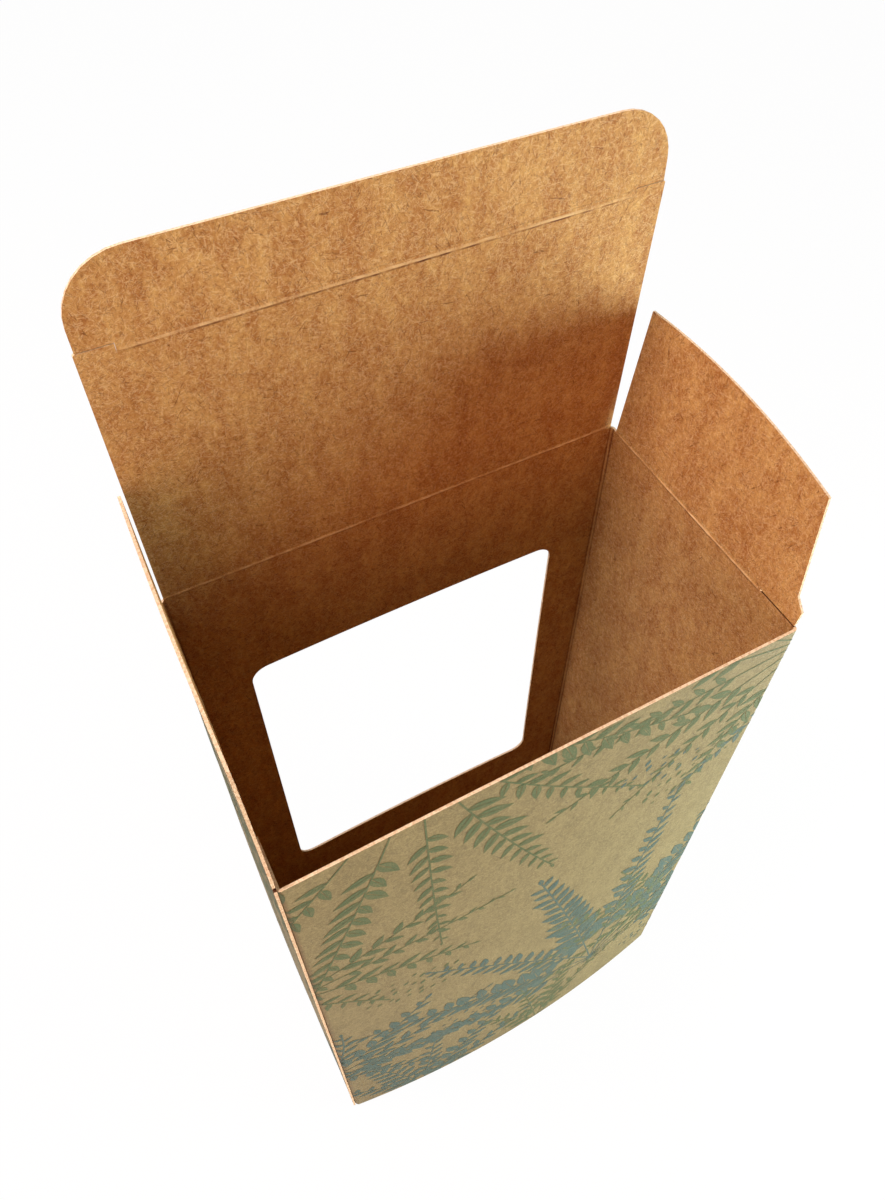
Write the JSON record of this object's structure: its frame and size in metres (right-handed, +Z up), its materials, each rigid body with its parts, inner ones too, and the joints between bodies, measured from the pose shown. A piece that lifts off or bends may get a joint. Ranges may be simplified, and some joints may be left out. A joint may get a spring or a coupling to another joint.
{
  "type": "window folding carton",
  "caption": "Upright folding carton in kraft board, open at the top, with a hinged tuck lid, two dust flaps, a closed foot and a round-cornered window in the rear wall.",
  "frame": {"origin": "centre of the carton's foot, on the underside of the closed foot panel", "axes": "+Z up, +X to the right and +Y to the back, seen from the printed front wall; the lid is hinged on the rear wall"},
  "size_m": [0.1043, 0.0638, 0.2477],
  "materials": {
    "kraft_board": "uncoated unbleached kraft, printed outside in two inks"
  },
  "bodies": {
    "carton": {"carton_body": "kraft_board"},
    "lid": {"lid_panel": "kraft_board"},
    "tuck": {"tuck_flap": "kraft_board"},
    "left_dust": {"dust_flap_left": "kraft_board"},
    "right_dust": {"dust_flap_right": "kraft_board"}
  },
  "joints": [
    {"name": "lid_crease", "type": "hinge", "parent": "carton", "child": "lid", "pos_m": [0, 0.02925, 0.175], "axis": [1, 0, 0], "range_deg": [-112, 88]},
    {"name": "tuck_crease", "type": "hinge", "parent": "lid", "child": "tuck", "pos_m": [0, 0.02724, 0.23266], "axis": [1, 0, 0], "range_deg": [-86, 94]},
    {"name": "left_dust_crease", "type": "hinge", "parent": "carton", "child": "left_dust", "pos_m": [-0.04975, 0, 0.1742], "axis": [0, 1, 0], "range_deg": [-100, 90]},
    {"name": "right_dust_crease", "type": "hinge", "parent": "carton", "child": "right_dust", "pos_m": [0.04975, 0, 0.1742], "axis": [0, -1, 0], "range_deg": [-94, 96]}
  ]
}
